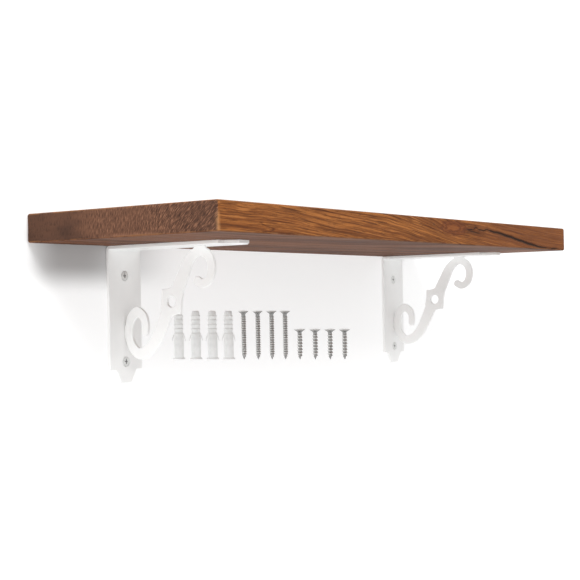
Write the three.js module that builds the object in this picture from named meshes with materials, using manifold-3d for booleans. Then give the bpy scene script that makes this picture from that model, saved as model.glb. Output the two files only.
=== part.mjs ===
// Wall shelf: a solid wood board on two scrolled steel brackets, with its screws and wall plugs.
//
// Millimetres, +Z up. The origin is the centre of the board's back face, which lies on the wall.
// The wall is the plane y = 0: the room is at -Y, and the plugs sit inside the wall at +Y.

import * as THREE from 'three';
import { mergeVertices } from 'three/addons/utils/BufferGeometryUtils.js';
import Module from 'manifold-3d';

const wasm = await Module();
wasm.setup();

// Board
const BOARD_LENGTH = 610;
const BOARD_DEPTH = 200;
const BOARD_THICKNESS = 24;
const BOARD_EASE = 2; // the worn round on every edge

// Bracket strap, a steel band bent into an L
const STRAP_WIDTH = 42;
const STRAP_THICKNESS = 3;
const BEND_RADIUS = 4; // outside of the bend
const WALL_LEG = 109; // from the corner to the shoulders
const SHELF_LEG = 125;
const TONGUE_LENGTH = 11.5;
const TONGUE_ROOT = 25;
const TONGUE_TIP = 14;
const HOLE_FROM_CORNER = 26;
const HOLE_FROM_SHOULDER = 7;
const BRACKET_X = [['left', -189], ['right', 270]];

// Scroll plate, which stands on edge in the middle of the strap
const SCROLL_THICKNESS = 3;
const SCROLL_HOLE_RADIUS = 5;
const TAB_LENGTH = 12;
const WALL_TAB_DROP = 73; // middle of the tab, below the shelf leg
const SHELF_TAB_REACH = 89; // middle of the tab, out from the wall

// Fasteners
const WALL_SCREW = { length: 40, radius: 2.25, headRadius: 4.3, headHeight: 2.4 };
const SHELF_SCREW = { length: 25, radius: 2.4, headRadius: 4.7, headHeight: 2.4 };
const SCREW_TIP = 5;
const RECESS_SPAN = 4.4;
const RECESS_WIDTH = 1.1;
const RECESS_DEPTH = 1.5;
const PLUG_LENGTH = 40;
const PLUG_RADIUS = 4;
const PLUG_FLANGE_RADIUS = 5.2;
const PLUG_FLANGE = 1.2; // thickness
const PLUG_RIBS = [25, 29, 33]; // heights above the mouth
const PLUG_RIB_DEPTH = 0.5;
const PLUG_FORK_LENGTH = 19;
const PLUG_FORK_GAP = 1.4;
const WING_WIDTH = 2.4;
const WING_REACH = 1.7;
const WING_TIP = 15; // height above the mouth
const WING_ROOT = 21;

const GAP = 0.3; // clearance between neighbouring pieces
const PAST = 1; // how far a cutting tool runs past the face it cuts
const ROUND_STEPS = 24;

const UNDERSIDE = -BOARD_THICKNESS / 2;

const WOOD = { color: 0x8d5a33, roughness: 0.6, metalness: 0 };
const WHITE_STEEL = { color: 0xf1f0ee, roughness: 0.45, metalness: 0.1 };
const ZINC = { color: 0xa9aaa7, roughness: 0.35, metalness: 0.9 };
const NYLON = { color: 0xdcdddb, roughness: 0.55, metalness: 0 };

// ---------------------------------------------------------------- solids

function solid(geometry) {
  const plain = geometry.clone();
  plain.deleteAttribute('normal');
  plain.deleteAttribute('uv');
  const merged = mergeVertices(plain, 1e-4);
  const vertProperties = new Float32Array(merged.attributes.position.array);
  const triVerts = new Uint32Array(merged.index.array);
  return new wasm.Manifold(new wasm.Mesh({ numProp: 3, vertProperties, triVerts }));
}

function toGeometry(body) {
  const mesh = body.getMesh();
  const geometry = new THREE.BufferGeometry();
  geometry.setAttribute('position', new THREE.Float32BufferAttribute(mesh.vertProperties, 3));
  geometry.setIndex([...mesh.triVerts]);
  geometry.computeVertexNormals();
  return geometry;
}

function box(width, depth, height, x, y, z) {
  return solid(new THREE.BoxGeometry(width, depth, height).translate(x, y, z));
}

// An outline pushed out by `depth`, with its own axes turned onto the three given directions.
function slab(outline, depth, across, along, out, origin) {
  const geometry = new THREE.ExtrudeGeometry(outline, {
    depth,
    bevelEnabled: false,
    curveSegments: 10,
  });
  const turn = new THREE.Matrix4().makeBasis(
    new THREE.Vector3(...across),
    new THREE.Vector3(...along),
    new THREE.Vector3(...out),
  );
  return solid(geometry.applyMatrix4(turn.setPosition(...origin)));
}

// A profile of [radius, height] pairs turned about an axis. Height runs along +Z before placing.
function turned(profile, steps = ROUND_STEPS) {
  const points = profile.map(([radius, height]) => new THREE.Vector2(radius, height));
  return new THREE.LatheGeometry(points, steps).rotateX(Math.PI / 2);
}

// Placing a turned piece: its +Z goes into the wall, or up into the board.
function intoWall(geometry, x, y, z) {
  return geometry.rotateX(-Math.PI / 2).translate(x, y, z);
}

function intoBoard(geometry, x, y, z) {
  return geometry.translate(x, y, z);
}

// ---------------------------------------------------------------- board

function boardBlank() {
  const halfLength = BOARD_LENGTH / 2 - BOARD_EASE;
  const halfDepth = BOARD_DEPTH / 2 - BOARD_EASE;
  const outline = new THREE.Shape([
    new THREE.Vector2(-halfLength, -halfDepth),
    new THREE.Vector2(halfLength, -halfDepth),
    new THREE.Vector2(halfLength, halfDepth),
    new THREE.Vector2(-halfLength, halfDepth),
  ]);
  const geometry = new THREE.ExtrudeGeometry(outline, {
    depth: BOARD_THICKNESS - 2 * BOARD_EASE,
    bevelThickness: BOARD_EASE,
    bevelSize: BOARD_EASE,
    bevelSegments: 3,
  });
  return solid(geometry.translate(0, -BOARD_DEPTH / 2, UNDERSIDE + BOARD_EASE));
}

function shelfBoard() {
  const reach = SHELF_SCREW.length - STRAP_THICKNESS + GAP;
  let board = boardBlank();
  for (const [, x] of BRACKET_X) {
    for (const out of shelfHoles()) {
      const pilot = turned([
        [0, -PAST],
        [SHELF_SCREW.radius + GAP, -PAST],
        [SHELF_SCREW.radius + GAP, reach - SCREW_TIP / 2],
        [0, reach],
      ]);
      board = board.subtract(solid(intoBoard(pilot, x, -out, UNDERSIDE)));
    }
  }
  return toGeometry(board);
}

// ---------------------------------------------------------------- bracket strap

function wallHoles() {
  return [HOLE_FROM_CORNER, WALL_LEG - HOLE_FROM_SHOULDER];
}

function shelfHoles() {
  return [HOLE_FROM_CORNER, SHELF_LEG - HOLE_FROM_SHOULDER];
}

// The bent band seen from its edge: x is out from the wall, y is down from the board.
function bandEdge() {
  const outer = BEND_RADIUS;
  const inner = BEND_RADIUS - STRAP_THICKNESS;
  const wallEnd = WALL_LEG + TONGUE_LENGTH;
  const shelfEnd = SHELF_LEG + TONGUE_LENGTH;
  const edge = new THREE.Shape();
  edge.moveTo(outer, 0);
  edge.lineTo(shelfEnd, 0);
  edge.lineTo(shelfEnd, STRAP_THICKNESS);
  edge.lineTo(outer, STRAP_THICKNESS);
  edge.absarc(outer, outer, inner, -Math.PI / 2, Math.PI, true);
  edge.lineTo(STRAP_THICKNESS, wallEnd);
  edge.lineTo(0, wallEnd);
  edge.lineTo(0, outer);
  edge.absarc(outer, outer, outer, Math.PI, Math.PI * 1.5, false);
  return edge;
}

// One leg seen flat: straight sides to the shoulders, then a tongue with hollowed sides.
function legOutline(shoulder) {
  const half = STRAP_WIDTH / 2;
  const root = TONGUE_ROOT / 2;
  const tip = TONGUE_TIP / 2;
  const hollow = shoulder + TONGUE_LENGTH * 0.25;
  const end = shoulder + TONGUE_LENGTH;
  const outline = new THREE.Shape();
  outline.moveTo(-half, -PAST);
  outline.lineTo(half, -PAST);
  outline.lineTo(half, shoulder);
  outline.lineTo(root + PAST, shoulder);
  outline.quadraticCurveTo(root - PAST, hollow, tip, end);
  outline.lineTo(-tip, end);
  outline.quadraticCurveTo(PAST - root, hollow, -root - PAST, shoulder);
  outline.lineTo(-half, shoulder);
  return outline;
}

// The tool for one countersunk hole. Height 0 is the room side of the strap.
function countersink(screw) {
  const mouth = screw.headRadius + GAP;
  const shank = screw.radius + 2 * GAP;
  return turned([
    [0, -PAST],
    [mouth, -PAST],
    [mouth, GAP],
    [shank, screw.headHeight + GAP],
    [shank, STRAP_THICKNESS + PAST],
    [0, STRAP_THICKNESS + PAST],
  ]);
}

function bracketStrap(x) {
  const wallReach = WALL_LEG + TONGUE_LENGTH + PAST;
  const shelfReach = SHELF_LEG + TONGUE_LENGTH + PAST;
  const half = STRAP_WIDTH / 2;
  const bent = slab(
    bandEdge(), STRAP_WIDTH,
    [0, -1, 0], [0, 0, -1], [1, 0, 0], [x - half, 0, UNDERSIDE],
  );
  const wallLeg = slab(
    legOutline(WALL_LEG), shelfReach + PAST,
    [1, 0, 0], [0, 0, -1], [0, 1, 0], [x, -shelfReach, UNDERSIDE],
  );
  const shelfLeg = slab(
    legOutline(SHELF_LEG), wallReach + PAST,
    [1, 0, 0], [0, -1, 0], [0, 0, -1], [x, 0, UNDERSIDE + PAST],
  );
  let strap = bent.intersect(wallLeg).intersect(shelfLeg);
  for (const drop of wallHoles()) {
    strap = strap.subtract(
      solid(intoWall(countersink(WALL_SCREW), x, -STRAP_THICKNESS, UNDERSIDE - drop)),
    );
  }
  for (const out of shelfHoles()) {
    strap = strap.subtract(
      solid(intoBoard(countersink(SHELF_SCREW), x, -out, UNDERSIDE - STRAP_THICKNESS)),
    );
  }
  const slotWidth = SCROLL_THICKNESS + 2 * GAP;
  const slotLength = TAB_LENGTH + 2 * GAP;
  const through = STRAP_THICKNESS + 2 * PAST;
  const middle = STRAP_THICKNESS / 2;
  const slotZ = UNDERSIDE - STRAP_THICKNESS - WALL_TAB_DROP;
  const slotY = -SHELF_TAB_REACH;
  strap = strap.subtract(box(slotWidth, through, slotLength, x, -middle, slotZ));
  strap = strap.subtract(box(slotWidth, slotLength, through, x, slotY, UNDERSIDE - middle));
  return toGeometry(strap);
}

// ---------------------------------------------------------------- scroll plate

// The middle of the scroll's band, from the tip of the lower curl to the tip of the upper one.
// Each point is [out from the wall, down from the shelf leg, half the band's width there].
const SCROLL_BAND = [
  [26.2, 73, 3.3],
  [26.4, 65.5, 3.6],
  [23.2, 58.6, 4.1],
  [16.8, 55.4, 4.4],
  [10.4, 60.4, 4.2],
  [7.4, 72, 4.1],
  [9.9, 84, 4.3],
  [18, 91.8, 4.8],
  [29, 89.5, 5.2],
  [37.8, 81, 5.6],
  [44.4, 70, 6],
  [50.5, 58, 6.4],
  [57, 47, 6.6],
  [63.5, 37, 6.4],
  [69.5, 25.5, 6],
  [77.5, 11.5, 5],
  [88.5, 4.4, 4.1],
  [98, 8.5, 4],
  [101.5, 18.5, 3.9],
  [98.5, 28.5, 3.8],
  [91.5, 32.3, 3.7],
  [86, 29.8, 3.7],
];
const BOSS_MIDDLE = SCROLL_BAND[12];
const BAND_STEPS = 90;
const TIP_STEPS = 8;

// The scroll's boss from its own middle: two pointed ears, the second the first turned half round.
// An ear is [hollow's control, hollow's end, tip, flank's control, flank's end], each [out, down].
const BOSS_START = [-10, -11];
const BOSS_EAR = [[-2, -10.5], [2, -14], [12.3, -6.2], [10.5, 2], [10, 11]];

function bandOutline() {
  const path = new THREE.CatmullRomCurve3(
    SCROLL_BAND.map(([out, drop, half]) => new THREE.Vector3(out, drop, half)),
    false,
    'centripetal',
  );
  const left = [];
  const right = [];
  for (let step = 0; step <= BAND_STEPS; step += 1) {
    const at = path.getPoint(step / BAND_STEPS);
    const run = path.getTangent(step / BAND_STEPS);
    const side = new THREE.Vector2(-run.y, run.x).normalize().multiplyScalar(at.z);
    left.push(new THREE.Vector2(at.x, at.y).add(side));
    right.push(new THREE.Vector2(at.x, at.y).sub(side));
  }
  const farTip = roundTip(left.at(-1), right.at(-1));
  const nearTip = roundTip(right[0], left[0]);
  return new THREE.Shape([...left, ...farTip, ...right.reverse(), ...nearTip]);
}

// The half circle that closes a band between its two edges.
function roundTip(from, to) {
  const middle = from.clone().add(to).multiplyScalar(0.5);
  const points = [];
  for (let step = 1; step < TIP_STEPS; step += 1) {
    points.push(from.clone().rotateAround(middle, (-Math.PI * step) / TIP_STEPS));
  }
  return points;
}

function bossOutline() {
  const [out, drop] = BOSS_MIDDLE;
  const outline = new THREE.Shape();
  outline.moveTo(out + BOSS_START[0], drop + BOSS_START[1]);
  for (const turn of [1, -1]) {
    const [hollow, hollowEnd, tip, flank, flankEnd] = BOSS_EAR.map(([across, down]) => [
      out + turn * across,
      drop + turn * down,
    ]);
    outline.quadraticCurveTo(...hollow, ...hollowEnd);
    outline.lineTo(...tip);
    outline.quadraticCurveTo(...flank, ...flankEnd);
  }
  return outline;
}

function scrollPlate(x) {
  const half = SCROLL_THICKNESS / 2;
  const legFace = UNDERSIDE - STRAP_THICKNESS;
  const stand = [[0, -1, 0], [0, 0, -1], [1, 0, 0], [x - half, 0, legFace]];
  const band = slab(bandOutline(), SCROLL_THICKNESS, ...stand);
  const boss = slab(bossOutline(), SCROLL_THICKNESS, ...stand);
  const [out, drop] = BOSS_MIDDLE;
  const hole = turned([
    [0, -SCROLL_THICKNESS],
    [SCROLL_HOLE_RADIUS, -SCROLL_THICKNESS],
    [SCROLL_HOLE_RADIUS, SCROLL_THICKNESS],
    [0, SCROLL_THICKNESS],
  ]).rotateY(Math.PI / 2).translate(x, -out, legFace - drop);
  const tabReach = 2 * STRAP_THICKNESS;
  const tabMiddle = GAP + tabReach / 2;
  const wallTab = box(
    SCROLL_THICKNESS, tabReach, TAB_LENGTH,
    x, -tabMiddle, legFace - WALL_TAB_DROP,
  );
  const shelfTab = box(
    SCROLL_THICKNESS, TAB_LENGTH, tabReach,
    x, -SHELF_TAB_REACH, UNDERSIDE - tabMiddle,
  );
  return toGeometry(band.add(boss).add(wallTab).add(shelfTab).subtract(solid(hole)));
}

// ---------------------------------------------------------------- fasteners

// A countersunk screw. Height 0 is the top of its head, and the tip is at +length.
function screw(size) {
  const { length, radius, headRadius, headHeight } = size;
  const shank = solid(turned([
    [0, 0],
    [headRadius - GAP, 0],
    [headRadius, GAP],
    [radius, headHeight],
    [radius, length - SCREW_TIP],
    [0, length],
  ]));
  const slot = box(RECESS_SPAN, RECESS_WIDTH, 2 * RECESS_DEPTH, 0, 0, 0);
  const crossSlot = box(RECESS_WIDTH, RECESS_SPAN, 2 * RECESS_DEPTH, 0, 0, 0);
  return toGeometry(shank.subtract(slot).subtract(crossSlot));
}

// A ribbed nylon plug. Height 0 is its mouth, and the forked end is at +length.
function wallPlug() {
  const bore = WALL_SCREW.radius + GAP;
  const shoulder = PLUG_FLANGE + PLUG_RIB_DEPTH;
  const profile = [
    [bore, 0],
    [PLUG_FLANGE_RADIUS, 0],
    [PLUG_FLANGE_RADIUS, PLUG_FLANGE],
    [PLUG_RADIUS, shoulder],
    [PLUG_RADIUS, PLUG_RIBS[0] - 3],
  ];
  for (const rib of PLUG_RIBS) {
    profile.push([PLUG_RADIUS - PLUG_RIB_DEPTH, rib - 2]);
    profile.push([PLUG_RADIUS, rib]);
  }
  profile.push([PLUG_RADIUS - PLUG_RIB_DEPTH, PLUG_LENGTH - 3]);
  profile.push([PLUG_RADIUS - 2 * PLUG_RIB_DEPTH, PLUG_LENGTH]);
  profile.push([bore / 2, PLUG_LENGTH]);
  profile.push([bore, PLUG_LENGTH - 3]);
  profile.push([bore, 0]);
  const forkMiddle = PLUG_LENGTH + PAST - PLUG_FORK_LENGTH / 2;
  const fork = box(PLUG_FORK_GAP, 4 * PLUG_RADIUS, PLUG_FORK_LENGTH, 0, 0, forkMiddle);
  return toGeometry(solid(turned(profile)).subtract(fork).add(wing(1)).add(wing(-1)));
}

// A barb that springs out from the plug's side and leans back towards its mouth.
function wing(side) {
  const root = PLUG_RADIUS - 2 * GAP;
  const reach = PLUG_RADIUS + WING_REACH;
  const outline = new THREE.Shape([
    new THREE.Vector2(side * root, WING_ROOT),
    new THREE.Vector2(side * reach, WING_TIP + GAP),
    new THREE.Vector2(side * (reach - 2 * GAP), WING_TIP),
    new THREE.Vector2(side * root, WING_ROOT - 8 * GAP),
  ]);
  return slab(outline, WING_WIDTH, [0, 1, 0], [0, 0, 1], [1, 0, 0], [-WING_WIDTH / 2, 0, 0]);
}

// ---------------------------------------------------------------- assembly

const shelf = new THREE.Group();

function add(name, geometry, finish) {
  const mesh = new THREE.Mesh(geometry, new THREE.MeshStandardMaterial(finish));
  mesh.name = name;
  shelf.add(mesh);
}

add('shelf_board', shelfBoard(), WOOD);

for (const [side, x] of BRACKET_X) {
  add(`${side}_bracket_strap`, bracketStrap(x), WHITE_STEEL);
  add(`${side}_bracket_scroll`, scrollPlate(x), WHITE_STEEL);

  wallHoles().forEach((drop, index) => {
    const place = ['upper', 'lower'][index];
    const z = UNDERSIDE - drop;
    add(`${side}_${place}_wall_screw`, intoWall(screw(WALL_SCREW), x, -STRAP_THICKNESS, z), ZINC);
    add(`${side}_${place}_wall_plug`, intoWall(wallPlug(), x, GAP, z), NYLON);
  });

  shelfHoles().forEach((out, index) => {
    const place = ['rear', 'front'][index];
    const z = UNDERSIDE - STRAP_THICKNESS;
    add(`${side}_${place}_shelf_screw`, intoBoard(screw(SHELF_SCREW), x, -out, z), ZINC);
  });
}

export default shelf;
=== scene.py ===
# The looks of the wall shelf: board, brackets, screws and plugs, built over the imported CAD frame.
#
# Metres, +Z up, in the CAD's own frame. The wall is the plane y = 0 and the room is at -Y.

import math
from itertools import product

import bmesh
import bpy
from mathutils import Matrix, Vector, geometry, noise


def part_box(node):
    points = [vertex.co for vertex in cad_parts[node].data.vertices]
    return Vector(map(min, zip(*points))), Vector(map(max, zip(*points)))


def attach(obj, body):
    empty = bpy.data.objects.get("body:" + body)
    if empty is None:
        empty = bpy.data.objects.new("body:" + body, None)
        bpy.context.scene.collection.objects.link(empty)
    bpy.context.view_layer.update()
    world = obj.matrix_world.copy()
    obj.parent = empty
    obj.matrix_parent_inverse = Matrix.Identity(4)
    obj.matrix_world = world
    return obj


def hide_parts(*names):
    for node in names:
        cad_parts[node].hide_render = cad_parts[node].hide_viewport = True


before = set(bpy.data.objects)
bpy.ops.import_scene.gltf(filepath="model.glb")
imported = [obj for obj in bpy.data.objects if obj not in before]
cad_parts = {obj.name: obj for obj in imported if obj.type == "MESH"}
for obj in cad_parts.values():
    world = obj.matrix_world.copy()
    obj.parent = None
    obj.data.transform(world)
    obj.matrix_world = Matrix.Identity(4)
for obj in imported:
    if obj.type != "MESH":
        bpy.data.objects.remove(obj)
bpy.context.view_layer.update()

MM = 0.001
UNMOVED = Matrix.Identity(4)
WHITE = (1.0, 1.0, 1.0, 1.0)

# ---------------- sizes, from the frame

BOARD_LOW, BOARD_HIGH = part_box("shelf_board")
UNDERSIDE = BOARD_LOW.z
FRONT = BOARD_LOW.y
LEFT_END = BOARD_LOW.x
BOARD_EASE = 2 * MM

SIDES = ("left", "right")
STRAP_WIDTH = 42 * MM
STRAP_THICKNESS = 3 * MM
BEND_RADIUS = 4 * MM  # outside of the bend
WALL_LEG = 109 * MM  # from the corner to the shoulders
SHELF_LEG = 125 * MM
TONGUE_LENGTH = 11.5 * MM
TONGUE_ROOT = 25 * MM
TONGUE_TIP = 14 * MM
HOLE_FROM_CORNER = 26 * MM
HOLE_FROM_SHOULDER = 7 * MM
WALL_HOLES = (HOLE_FROM_CORNER, WALL_LEG - HOLE_FROM_SHOULDER)
SHELF_HOLES = (HOLE_FROM_CORNER, SHELF_LEG - HOLE_FROM_SHOULDER)
SCROLL_THICKNESS = 3 * MM
TAB_LENGTH = 12 * MM
WALL_TAB_DROP = 73 * MM
SHELF_TAB_REACH = 89 * MM
GAP = 0.3 * MM
STEEL_ROUND = 0.4 * MM  # the soft edge that powder coat leaves

WALL_SCREW = dict(length=40 * MM, radius=2.25 * MM, core=1.6 * MM, head=4.3 * MM, height=2.4 * MM,
                  pitch=1.9 * MM, plain=3.4 * MM)
SHELF_SCREW = dict(length=25 * MM, radius=2.4 * MM, core=1.6 * MM, head=4.7 * MM, height=2.4 * MM,
                   pitch=2.5 * MM, plain=3.0 * MM)
SCREW_POINT = 5 * MM
PLUG_LENGTH = 40 * MM
PLUG_RADIUS = 4 * MM
PLUG_FLANGE = 5.2 * MM


# ---------------- mesh helpers


def smooth(value, low, high):
    """0 below low, 1 above high, and a soft S between them."""
    t = max(0.0, min(1.0, (value - low) / (high - low)))
    return t * t * (3 - 2 * t)


def mesh_from(bm, name):
    """A mesh with its faces turned outwards."""
    mesh = bpy.data.meshes.new(name)
    bmesh.ops.recalc_face_normals(bm, faces=bm.faces)
    bm.normal_update()
    bm.to_mesh(mesh)
    bm.free()
    return mesh


def soften(mesh, angle=35):
    """Smooth shading, kept crisp where faces meet at more than the angle."""
    bm = bmesh.new()
    bm.from_mesh(mesh)
    limit = math.radians(angle)
    for face in bm.faces:
        face.smooth = True
    for edge in bm.edges:
        edge.smooth = len(edge.link_faces) == 2 and edge.calc_face_angle(0) < limit
    bm.to_mesh(mesh)
    bm.free()
    return mesh


def new_object(name, data):
    made = bpy.data.objects.new(name, data)
    bpy.context.scene.collection.objects.link(made)
    return made


def shown(name, mesh, material, place=UNMOVED):
    """An object from a mesh, with normals that keep its flat faces flat."""
    piece = new_object(name, mesh)
    mesh.materials.append(material)
    piece.matrix_world = place
    weighted = piece.modifiers.new("flat_faces_stay_flat", "WEIGHTED_NORMAL")
    weighted.keep_sharp = True
    return piece


def model_piece(name, node, mesh, material, place=UNMOVED):
    """A piece of the shelf: it rides on the body and stands for its CAD node."""
    piece = shown(name, mesh, material, place)
    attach(piece, "root")
    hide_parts(node)


def fixing_piece(node, mesh, material, place):
    model_piece(f"{node}_piece", node, mesh.copy(), material, place)


def carve(mesh, cutters, operation="DIFFERENCE"):
    """The mesh with every cutter mesh taken away from it, or joined to it."""
    blank = new_object("blank", mesh)
    tools = [new_object("tool", cutter) for cutter in cutters]
    for tool in tools:
        step = blank.modifiers.new("carve", "BOOLEAN")
        step.operation = operation
        step.solver = "EXACT"
        step.object = tool
    bpy.context.view_layer.update()
    ready = blank.evaluated_get(bpy.context.evaluated_depsgraph_get())
    result = bpy.data.meshes.new_from_object(ready)
    for helper in [blank, *tools]:
        bpy.data.objects.remove(helper)
    return result


def ring(bm, radii, height):
    """Points round the z axis, one for each radius."""
    turns = [2 * math.pi * step / len(radii) for step in range(len(radii))]
    return [
        bm.verts.new((radius * math.cos(turn), radius * math.sin(turn), height))
        for radius, turn in zip(radii, turns)
    ]


def lathe(profile, steps):
    """A closed profile of (radius, height) turned about the z axis. A radius of 0 makes one point."""
    bm = bmesh.new()
    rings = [ring(bm, [radius] * (steps if radius else 1), height) for radius, height in profile]
    for low, high in zip(rings, rings[1:]):
        for step in range(steps):
            following = (step + 1) % steps
            corners = [low[step % len(low)], low[following % len(low)],
                       high[following % len(high)], high[step % len(high)]]
            unique = list(dict.fromkeys(corners))
            if len(unique) > 2:
                bm.faces.new(unique)
    return bm


def band(bm, low, high):
    """A band of faces between two rings of as many points."""
    count = len(low)
    for step in range(count):
        following = (step + 1) % count
        bm.faces.new((low[step], low[following], high[following], high[step]))


def rounded(bm, radius, segments):
    bmesh.ops.bevel(bm, geom=bm.edges[:], offset=radius, segments=segments, affect="EDGES", profile=0.5)


def block(width, depth, height):
    bm = bmesh.new()
    bmesh.ops.create_cube(bm, size=1)
    bmesh.ops.scale(bm, vec=(width, depth, height), verts=bm.verts)
    return bm


def placed(bm, matrix):
    bm.transform(matrix)
    return mesh_from(bm, "cutter")


def offset(x, y, z):
    return Matrix.Translation((x, y, z))


def into_wall(x, y, z):
    """Puts a tool or a piece at a place, with its height running into the wall."""
    return offset(x, y, z) @ Matrix.Rotation(-math.pi / 2, 4, "X")


def turned_in(loop, inset):
    """The loop moved towards the solid on its left by the inset."""
    moved = []
    for index, point in enumerate(loop):
        back = (point - loop[index - 1]).normalized()
        on = (loop[(index + 1) % len(loop)] - point).normalized()
        middle = Vector((-back.y - on.y, back.x + on.x)).normalized()
        stretch = max(0.5, middle.dot(Vector((-on.y, on.x))))
        moved.append(point + middle * (inset / stretch))
    return moved


def enclosed(point, loops):
    """True if the point is inside an odd number of the loops."""
    inside = False
    for loop in loops:
        for a, b in zip(loop, loop[1:] + loop[:1]):
            if (a.y > point.y) != (b.y > point.y):
                if point.x < a.x + (b.x - a.x) * (point.y - a.y) / (b.y - a.y):
                    inside = not inside
    return inside


EDGE_STEPS = 3  # round a quarter turn of a plate's edge


def edge_levels(thickness, round_edge):
    """The (inset, height) of each ring up the side of a plate with rounded edges."""
    upper = []
    for step in range(EDGE_STEPS + 1):
        turn = math.pi / 2 * step / EDGE_STEPS
        height = thickness / 2 - round_edge * (1 - math.sin(turn))
        upper.append((round_edge * (1 - math.cos(turn)), height))
    return [(inset, -height) for inset, height in reversed(upper)] + upper


def solid_on_left(loops):
    """The loops, each turned so that the plate lies on its left. The first is the outline."""
    turned = []
    for number, loop in enumerate(loops):
        points = [Vector(point) for point in loop]
        area = sum(a.cross(b) for a, b in zip(points, points[1:] + points[:1]))
        turned.append(points if (area > 0) == (number == 0) else points[::-1])
    return turned


def cap(bm, rings):
    """Flat faces inside the first ring and outside the others."""
    corners = [vertex for loop in rings for vertex in loop]
    outlines = [[vertex.co.xy for vertex in loop] for loop in rings]
    edges, start = [], 0
    for loop in rings:
        edges += [(start + step, start + (step + 1) % len(loop)) for step in range(len(loop))]
        start += len(loop)
    flat = [vertex.co.xy / MM for vertex in corners]
    places, _, triangles, sources = geometry.delaunay_2d_cdt(flat, edges, [], 0, 1e-6)[:4]
    for triangle in triangles:
        middle = sum((places[index] for index in triangle), Vector((0, 0))) * (MM / 3)
        if enclosed(middle, outlines):
            bm.faces.new([corners[sources[index][0]] for index in triangle])


def plate(loops, thickness, round_edge):
    """A flat plate with rounded edges about the plane z = 0: an outline, then any holes."""
    levels = edge_levels(thickness, round_edge)
    bm = bmesh.new()
    bottom, top = [], []
    for points in solid_on_left(loops):
        rings = [
            [bm.verts.new((point.x, point.y, height)) for point in turned_in(points, inset)]
            for inset, height in levels
        ]
        bottom.append(rings[0])
        top.append(rings[-1])
        for low, high in zip(rings, rings[1:]):
            band(bm, low, high)
    cap(bm, bottom)
    cap(bm, top)
    bmesh.ops.recalc_face_normals(bm, faces=bm.faces)
    return bm


# ---------------- board

BOARD_CELLS = (190, 44, 40)  # of its grid, along x, y and z
EASE_STEPS = 5  # of the grid, round half of each edge
DENT_DEPTH = 0.78 * MM
DENT_RATE = 38  # dents a metre, roughly
NICK_DEPTH = 0.06 * MM
NICK_RATE = 160
RELIEF = 0.06 * MM  # of the grain

CRACK_START = 0.080  # along the board's front face
CRACK_END = 0.298
CRACK_FALL = (0.112, 0.268)  # where it runs down, from its high level to its low one
CRACK_CALMS = (0.096, 0.146)  # where it stops wavering
CRACK_CALM = 0.14  # how much of the wavering is left then
CRACK_HIGH = 0.0038
CRACK_LOW = -0.0106
CRACK_DEPTH = 0.45 * MM
CRACK_WIDTH = 0.5 * MM
CRACK_WAVES = ((0.0011, 250.0, 1.3), (0.0005, 570.0, 0.4))  # height, waves a metre by 2 pi, and shift


def crack_height(x):
    """The height of the crack's middle. It wavers most where the crack starts."""
    waver = 1 - (1 - CRACK_CALM) * smooth(x, *CRACK_CALMS)
    waves = sum(size * math.sin(x * rate + shift) for size, rate, shift in CRACK_WAVES)
    return CRACK_HIGH + (CRACK_LOW - CRACK_HIGH) * smooth(x, *CRACK_FALL) + waves * waver


def grid_lines(low, high, cells):
    """Stations from low to high, close together where the edges are rounded."""
    ease = BOARD_EASE
    near = [ease * (1 - math.tan(math.pi / 4 * (1 - step / EASE_STEPS))) for step in range(EASE_STEPS)]
    inner = [low + ease + (high - low - 2 * ease) * step / cells for step in range(cells + 1)]
    return [low + step for step in near] + inner + [high - step for step in reversed(near)]


def eased(point):
    """A point of the square box, moved onto the box with rounded edges."""
    inner = Vector(
        max(low + BOARD_EASE, min(high - BOARD_EASE, value))
        for value, low, high in zip(point, BOARD_LOW, BOARD_HIGH)
    )
    off = point - inner
    return inner + off.normalized() * BOARD_EASE if off.length > 0 else point


def worn(point):
    """A point of the eased box, moved in by the dents, the grain and the crack."""
    inset = [min(value - low, high - value) for value, low, high in zip(point, BOARD_LOW, BOARD_HIGH)]
    on_edge = 1 - smooth(sorted(inset)[1], 0, BOARD_EASE)
    middle = (BOARD_LOW + BOARD_HIGH) / 2
    inward = Vector(
        math.copysign(1, middle[axis] - point[axis]) if inset[axis] <= BOARD_EASE else 0.0
        for axis in range(3)
    )
    dent = max(0.0, noise.noise(point * DENT_RATE)) ** 2 * DENT_DEPTH
    nick = NICK_DEPTH * abs(noise.noise(point * NICK_RATE))
    moved = point + inward * (dent + nick) * on_edge
    if point.y < FRONT + 0.2 * MM:
        opens = smooth(point.x, CRACK_START, CRACK_START + 0.02)
        closes = smooth(point.x, CRACK_END - 0.04, CRACK_END)
        off_line = (point.z - crack_height(point.x)) / CRACK_WIDTH
        grain = noise.noise(Vector((point.x * 14, 0, point.z * 420 + point.x * 45))) + 1
        moved.y += CRACK_DEPTH * opens * (1 - closes) * math.exp(-off_line * off_line)
        moved.y += RELIEF * grain * (1 - on_edge)
    return moved


def pilot_holes():
    """The tools for the blind holes that the shelf screws go up into."""
    reach = SHELF_SCREW["length"] - STRAP_THICKNESS + GAP
    radius = SHELF_SCREW["radius"] + GAP
    profile = [(0, -MM), (radius, -MM), (radius, reach - SCREW_POINT / 2), (0, reach)]
    return [
        placed(lathe(profile, 24), offset(bracket_x(side), -out, UNDERSIDE))
        for side in SIDES for out in SHELF_HOLES
    ]


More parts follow.
